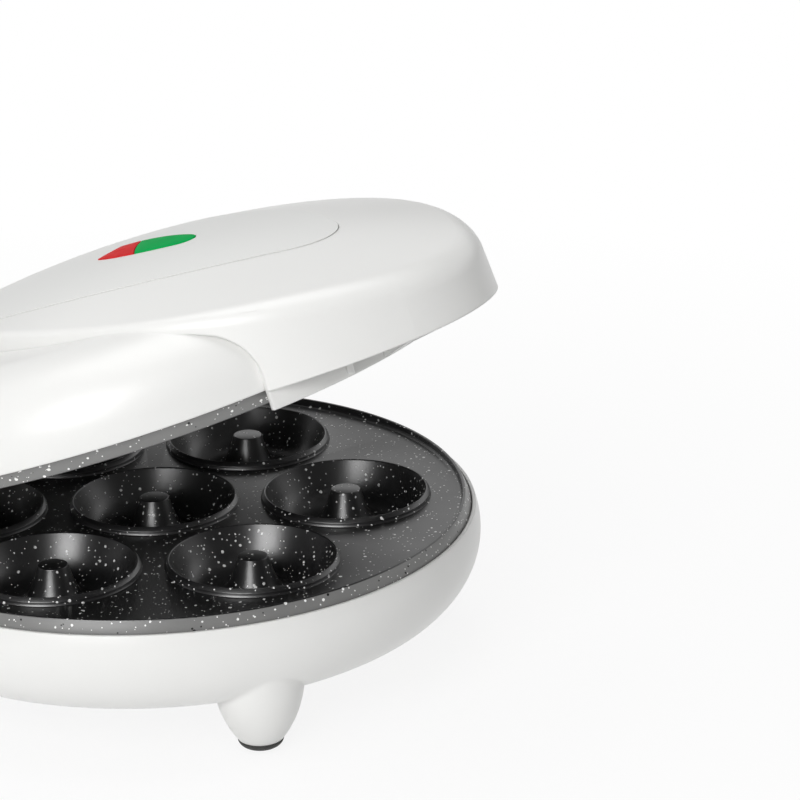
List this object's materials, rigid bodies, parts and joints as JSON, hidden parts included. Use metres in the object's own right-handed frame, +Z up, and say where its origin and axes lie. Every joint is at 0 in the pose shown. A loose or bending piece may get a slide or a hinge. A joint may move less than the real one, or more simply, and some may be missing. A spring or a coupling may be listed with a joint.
{
  "type": "donut maker",
  "caption": "Round hinged electric baking iron on short legs, with ring-shaped moulds in both plates, a domed lid with a nose-shaped grip and a two-colour indicator window",
  "frame": {"origin": "On the table, in the middle of the foot pads, straight under the middle of the lower plate", "axes": "+Z is up, -Y points at the lid's nose, +Y at the hinge, +X across, along the hinge's axis"},
  "size_m": [0.204, 0.2334, 0.1444],
  "materials": {
    "shell": "glossy white moulding",
    "panel": "glossy white moulding",
    "rubber": "matt black",
    "nonstick": "black non-stick coat with pale flecks",
    "element": "dull, heat-darkened",
    "reflector": "bright rolled sheet",
    "thermostat": "ceramic-like",
    "bright_steel": "plated",
    "screws": "zinc plated",
    "block": "natural",
    "leads": "braided sleeve",
    "fuse": "satin",
    "lamp": "clear neon bulb",
    "red_lens": "clear red",
    "green_lens": "clear green"
  },
  "bodies": {
    "base": {"base_shell": "shell", "foot_pads": "rubber", "lower_plate": "nonstick", "lower_element": "element", "lower_reflector": "reflector", "thermostat": "thermostat", "thermostat_strap": "bright_steel", "strap_screws": "screws", "terminal_block": "block", "block_screw": "screws", "cord_bush": "rubber", "base_screws": "screws", "lower_leads": "leads", "hinge_pins": "screws"},
    "lid": {"lid_cover": "shell", "top_panel": "panel", "red_lens": "red_lens", "green_lens": "green_lens", "lamp_holder": "block", "indicator_lamps": "lamp", "upper_plate": "nonstick", "upper_element": "element", "upper_reflector": "reflector", "thermal_fuse": "fuse", "fuse_clip": "bright_steel", "clip_screws": "screws", "lid_screws": "screws", "upper_leads": "leads"}
  },
  "joints": [
    {"name": "lid_hinge", "type": "hinge", "parent": "base", "child": "lid", "pos_m": [0, 0.1123, 0.05], "axis": [-1, 0, 0], "range_deg": [-17.74, 77.26]}
  ]
}
